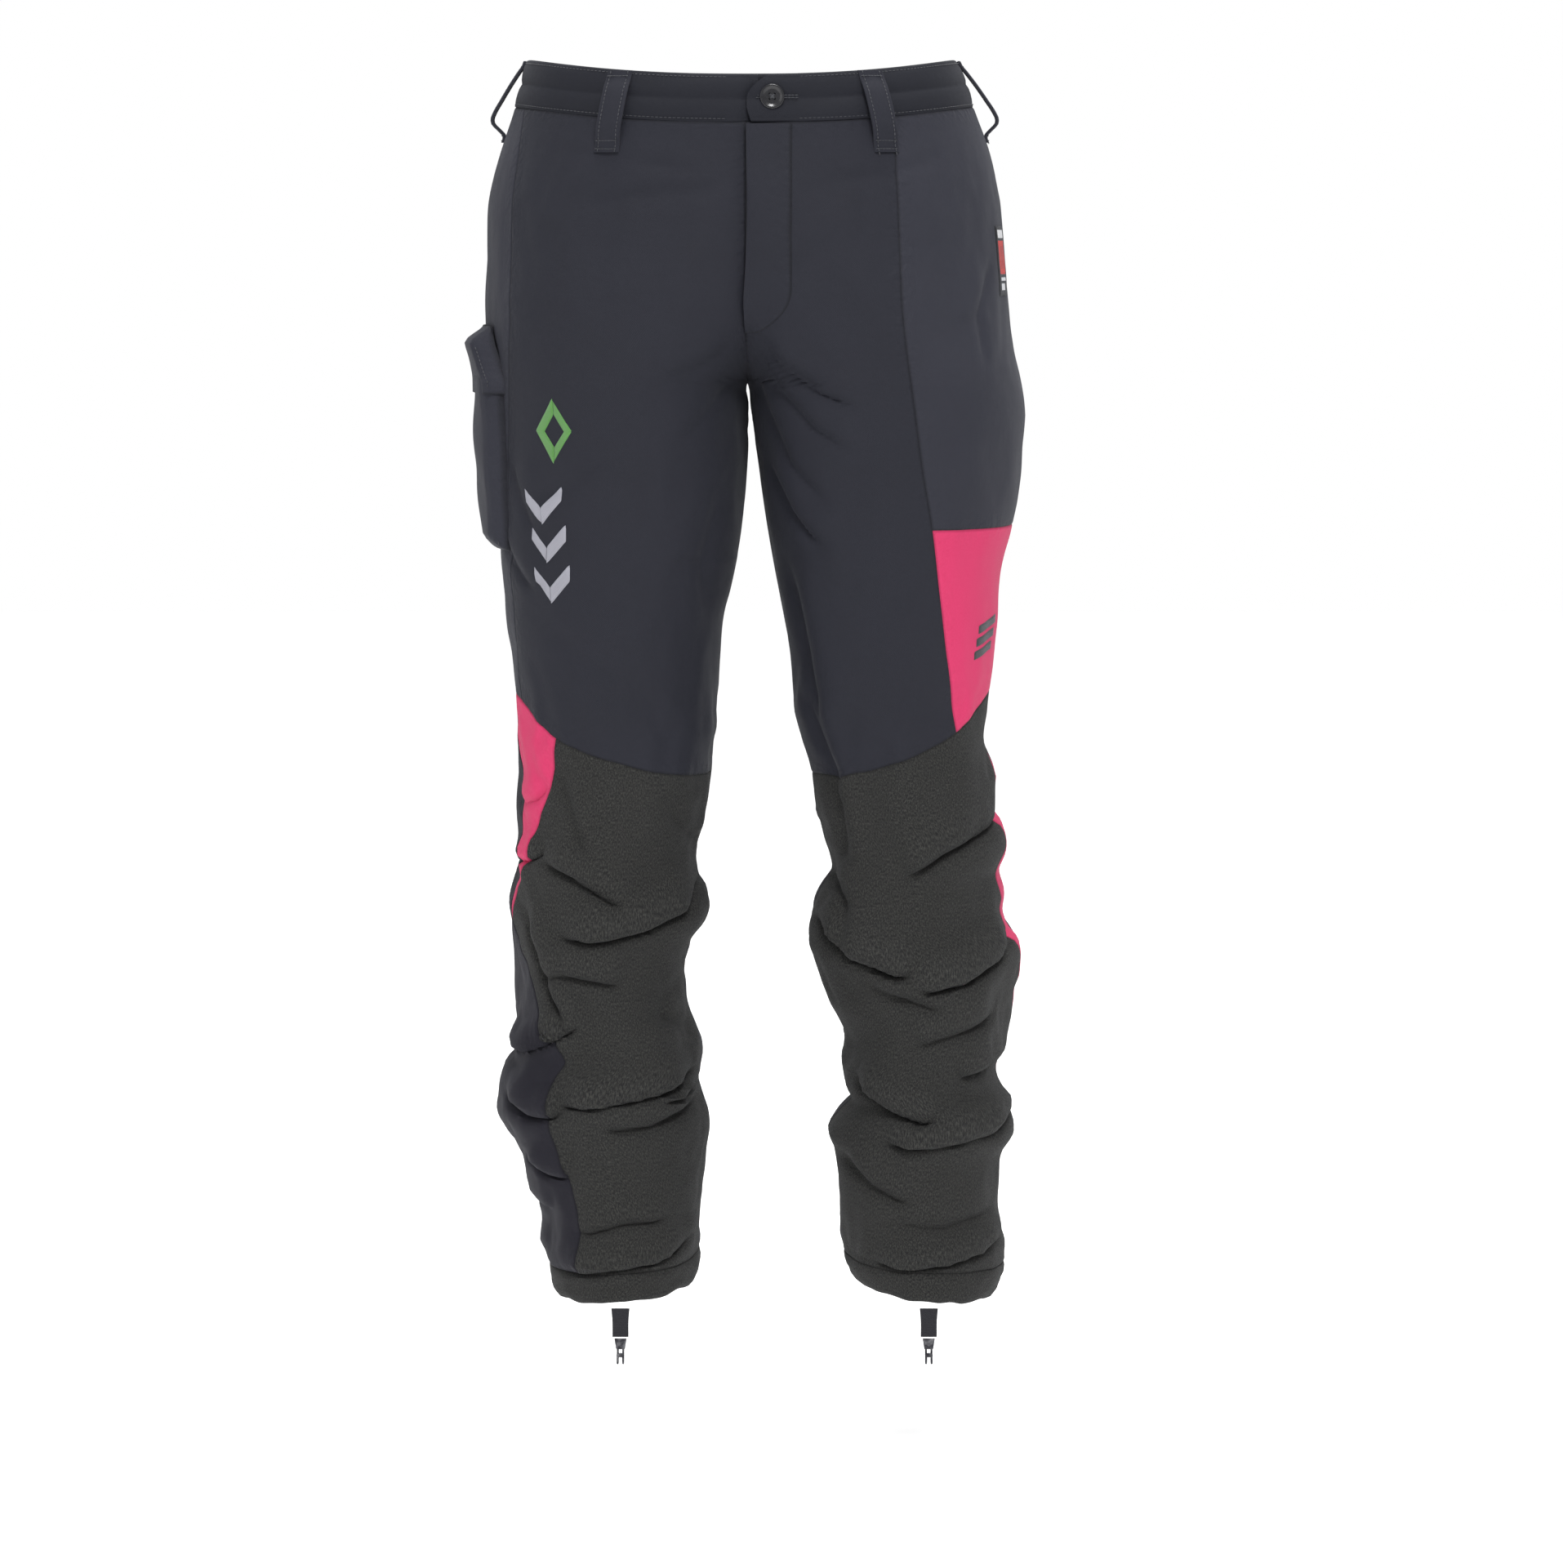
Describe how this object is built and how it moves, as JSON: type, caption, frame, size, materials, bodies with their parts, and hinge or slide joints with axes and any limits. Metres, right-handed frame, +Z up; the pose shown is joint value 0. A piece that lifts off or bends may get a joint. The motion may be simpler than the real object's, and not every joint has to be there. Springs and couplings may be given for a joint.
{
  "type": "chainsaw protective trousers",
  "caption": "Chainsaw protective trousers in a worn shape: panelled slate cloth with heather shins, pink inserts, zip fly, flap pockets and boot hooks.",
  "frame": {"origin": "centre of the waist opening, at the top of the side seams", "axes": "+Z up; the front faces -Y; +X is towards the wearer's left"},
  "size_m": [0.4238, 0.2797, 0.9883],
  "materials": {
    "slate_cloth": "smooth stretch weave, slight sheen",
    "band_cloth": "smooth stretch weave, folded and stitched",
    "shin_cloth": "coarse heathered abrasion-proof weave",
    "calf_cloth": "matt stretch knit",
    "bright_cloth": "bright pink twill",
    "pad_cloth": "stacked loose-knit protective plies",
    "lining_mesh": "fine knitted mesh",
    "label_cloth": "woven label",
    "embroidery": "satin-stitched thread",
    "sewing_thread": "twisted thread",
    "button_plastic": "polished",
    "zip_plastic": "moulded coil",
    "dark_metal": "black enamel"
  },
  "bodies": {
    "trousers": {"back_pocket": "slate_cloth", "back_thigh_left": "slate_cloth", "back_thigh_right": "slate_cloth", "back_yoke_left": "slate_cloth", "back_yoke_right": "slate_cloth", "belt_loop_back_left": "slate_cloth", "belt_loop_back_right": "slate_cloth", "belt_loop_centre_back": "slate_cloth", "belt_loop_front_left": "slate_cloth", "belt_loop_front_right": "slate_cloth", "belt_loop_side_left": "slate_cloth", "belt_loop_side_right": "slate_cloth", "bright_calf_left": "bright_cloth", "bright_knee_right": "bright_cloth", "bright_thigh_left": "bright_cloth", "button_thread": "sewing_thread", "calf_back_left": "calf_cloth", "calf_back_right": "calf_cloth", "cargo_pocket": "slate_cloth", "fly_placket": "slate_cloth", "fly_shield": "band_cloth", "front_thigh_left": "slate_cloth", "front_thigh_right": "slate_cloth", "hand_pocket_bag_left": "lining_mesh", "hand_pocket_bag_right": "lining_mesh", "hem_cuff_left": "shin_cloth", "hem_cuff_right": "shin_cloth", "lining_left": "lining_mesh", "lining_right": "lining_mesh", "pad_left": "pad_cloth", "pad_right": "pad_cloth", "panel_emblem": "embroidery", "shin_front_left": "shin_cloth", "shin_front_right": "shin_cloth", "side_label": "label_cloth", "side_panel_left": "slate_cloth", "side_panel_right": "slate_cloth", "thigh_emblem": "embroidery", "waistband_back": "band_cloth", "waistband_left": "band_cloth", "waistband_right": "band_cloth", "waistband_underlap": "band_cloth", "zip_bottom_stop": "dark_metal", "zip_chain": "zip_plastic", "zip_tape_left": "band_cloth", "zip_tape_right": "band_cloth"},
    "zip_slider": {"zip_slider": "dark_metal"},
    "zip_pull": {"zip_pull": "dark_metal"},
    "cargo_flap": {"cargo_flap": "slate_cloth"},
    "back_pocket_flap": {"back_pocket_flap": "slate_cloth"},
    "waist_button": {"waist_button": "button_plastic"},
    "boot_strap_right": {"boot_strap_right": "band_cloth"},
    "boot_strap_left": {"boot_strap_left": "band_cloth"},
    "lace_hook_right": {"lace_hook_right": "dark_metal"},
    "lace_hook_left": {"lace_hook_left": "dark_metal"}
  },
  "joints": [
    {"name": "zip_slide", "type": "slide", "parent": "trousers", "child": "zip_slider", "axis": [0, 0.0239, -0.9997], "range_m": [0, 0.11]},
    {"name": "zip_pull_tilt", "type": "hinge", "parent": "zip_slider", "child": "zip_pull", "pos_m": [0.009, -0.11401, -0.06111], "axis": [-1, 0, 0], "range_deg": [0, 10]},
    {"name": "cargo_flap_open", "type": "hinge", "parent": "trousers", "child": "cargo_flap", "pos_m": [-0.19834, 0.00826, -0.2], "axis": [0.0064, 1, 0], "range_deg": [0, 120]},
    {"name": "back_flap_open", "type": "hinge", "parent": "trousers", "child": "back_pocket_flap", "pos_m": [-0.13035, 0.10113, -0.084], "axis": [0.8775, 0.4796, 0], "range_deg": [0, 110]},
    {"name": "waist_button_turn", "type": "hinge", "parent": "trousers", "child": "waist_button", "pos_m": [0.01906, -0.11827, -0.02992], "axis": [0.0406, -0.9992, 0], "range_deg": [-25, 25]},
    {"name": "boot_strap_swing_right", "type": "hinge", "parent": "trousers", "child": "boot_strap_right", "pos_m": [-0.09695, -0.0791, -0.9461], "axis": [-1, 0, 0], "range_deg": [-25, 70]},
    {"name": "lace_hook_swing_right", "type": "hinge", "parent": "boot_strap_right", "child": "lace_hook_right", "pos_m": [-0.09695, -0.0791, -0.9685], "axis": [-1, 0, 0], "range_deg": [-30, 30]},
    {"name": "boot_strap_swing_left", "type": "hinge", "parent": "trousers", "child": "boot_strap_left", "pos_m": [0.13845, -0.0791, -0.9461], "axis": [-1, 0, 0], "range_deg": [-25, 70]},
    {"name": "lace_hook_swing_left", "type": "hinge", "parent": "boot_strap_left", "child": "lace_hook_left", "pos_m": [0.13845, -0.0791, -0.9685], "axis": [-1, 0, 0], "range_deg": [-30, 30]}
  ]
}
